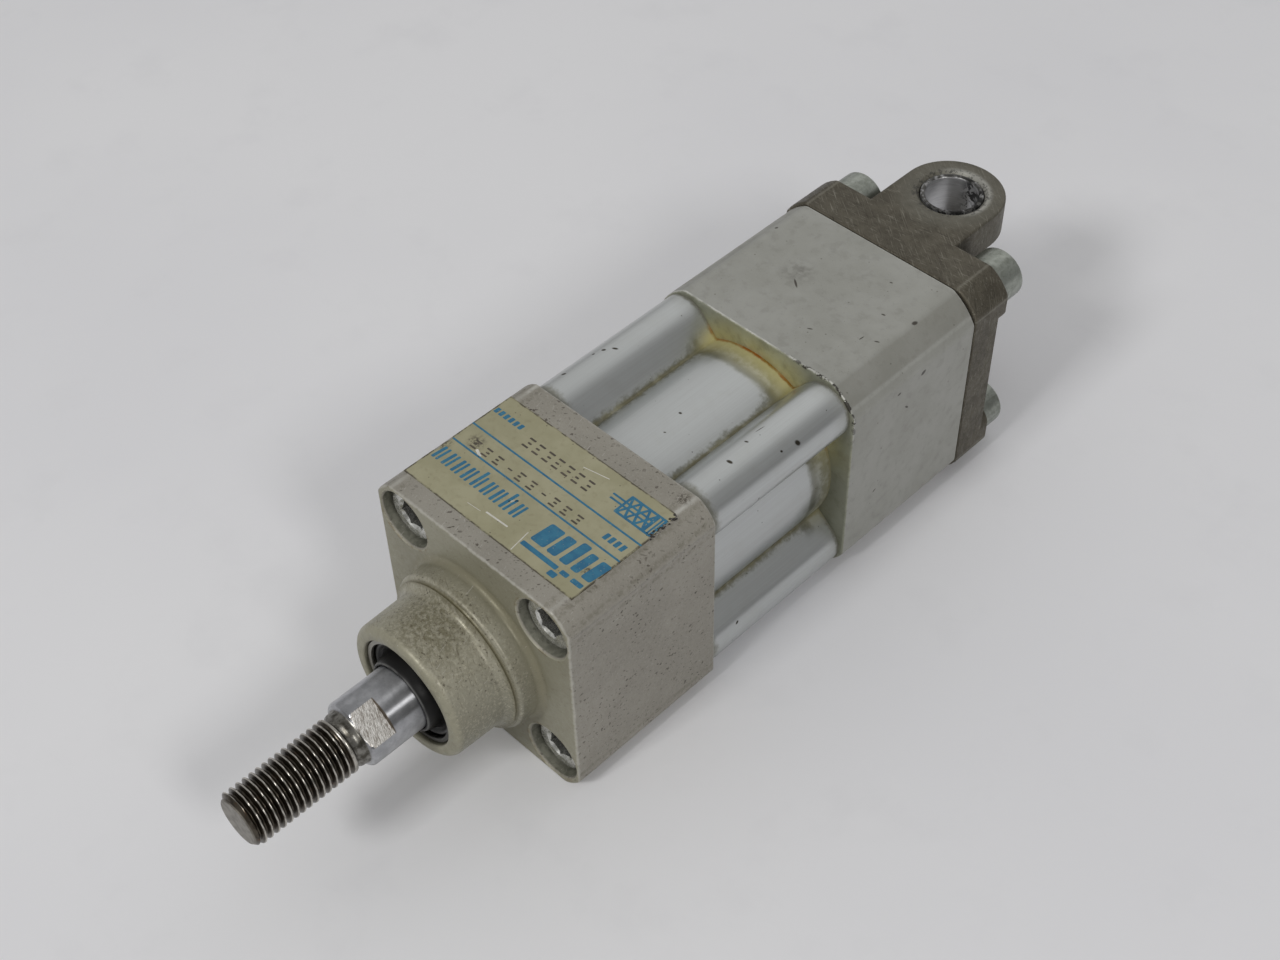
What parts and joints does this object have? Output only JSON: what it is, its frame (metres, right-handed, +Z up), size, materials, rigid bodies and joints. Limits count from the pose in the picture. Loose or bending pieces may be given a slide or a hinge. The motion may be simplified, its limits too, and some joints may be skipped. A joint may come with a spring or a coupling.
{
  "type": "pneumatic cylinder",
  "caption": "Short-stroke, spring-return pneumatic cylinder: square end caps, lobed barrel, threaded rod with wrench flats and a fork clevis at the rear.",
  "frame": {"origin": "centre of the footprint, on the plane of the two caps' bottom faces", "axes": "+Y along the cylinder axis from the rod's threaded tip to the clevis, +Z up from the caps' bottom faces to the labelled side, +X completes the frame; the air ports face -X; the cylinder axis is at z 0.0225"},
  "size_m": [0.045, 0.1802, 0.045],
  "materials": {
    "front_cap_cast": "die-cast aluminium alloy, dull warm grey, fine dark pits and worn light edges",
    "rear_cap_cast": "die-cast aluminium alloy, light neutral grey, few nicks, bright worn front edge",
    "barrel_anodised": "extruded and clear anodised aluminium, satin silver, drawn along its length",
    "clevis_steel": "ground dark grey-brown metal with fine random scratches",
    "clevis_bush_steel": "smooth grey steel bush",
    "front_screw_zinc": "bright zinc-plated steel",
    "rear_screw_zinc": "dull pale zinc-plated steel",
    "rod_chrome": "hard-chromed and polished steel, thread in bare dark steel",
    "label_foil": "cream printed foil with plain blue bars and grey dashes, no lettering",
    "bush_bronze": "plain bearing bronze",
    "seal_rubber": "black nitrile or polyurethane",
    "bumper_rubber": "dark grey elastomer",
    "ring_steel": "thin dark spring steel",
    "piston_aluminium": "turned aluminium",
    "magnet_ferrite": "plastic-bound ferrite",
    "nut_zinc": "zinc-plated steel",
    "spring_steel": "bright spring wire",
    "guide_ring_ptfe": "bronze-filled PTFE strip"
  },
  "bodies": {
    "housing": {"front_cap": "front_cap_cast", "barrel": "barrel_anodised", "rear_cap": "rear_cap_cast", "rear_clevis": "clevis_steel", "clevis_bush_upper": "clevis_bush_steel", "clevis_bush_lower": "clevis_bush_steel", "front_screw_1": "front_screw_zinc", "front_screw_2": "front_screw_zinc", "front_screw_3": "front_screw_zinc", "front_screw_4": "front_screw_zinc", "rear_screw_1": "rear_screw_zinc", "rear_screw_2": "rear_screw_zinc", "rear_screw_3": "rear_screw_zinc", "rear_screw_4": "rear_screw_zinc", "label_plate": "label_foil", "rod_bush": "bush_bronze", "rod_seal": "seal_rubber", "seal_retaining_ring": "ring_steel", "front_cap_oring": "seal_rubber", "rear_cap_oring": "seal_rubber", "front_bumper": "bumper_rubber", "rear_bumper": "bumper_rubber", "return_spring": "spring_steel"},
    "piston_rings": {"piston_seal_front": "seal_rubber", "piston_seal_rear": "seal_rubber", "guide_ring": "guide_ring_ptfe"},
    "rod": {"piston_rod": "rod_chrome", "piston_front": "piston_aluminium", "piston_rear": "piston_aluminium", "magnet_ring": "magnet_ferrite", "piston_nut": "nut_zinc"}
  },
  "joints": [
    {"name": "rod_slide", "type": "slide", "parent": "housing", "child": "piston_rings", "axis": [0, -1, 0], "range_m": [0, 0.005], "stiffness_N_per_m": 3000, "springref_m": -0.008, "deforming": ["return_spring"]},
    {"name": "rod_turn", "type": "hinge", "parent": "piston_rings", "child": "rod", "pos_m": [0, -0.0609, 0.0225], "axis": [0, -1, 0], "continuous": true}
  ]
}
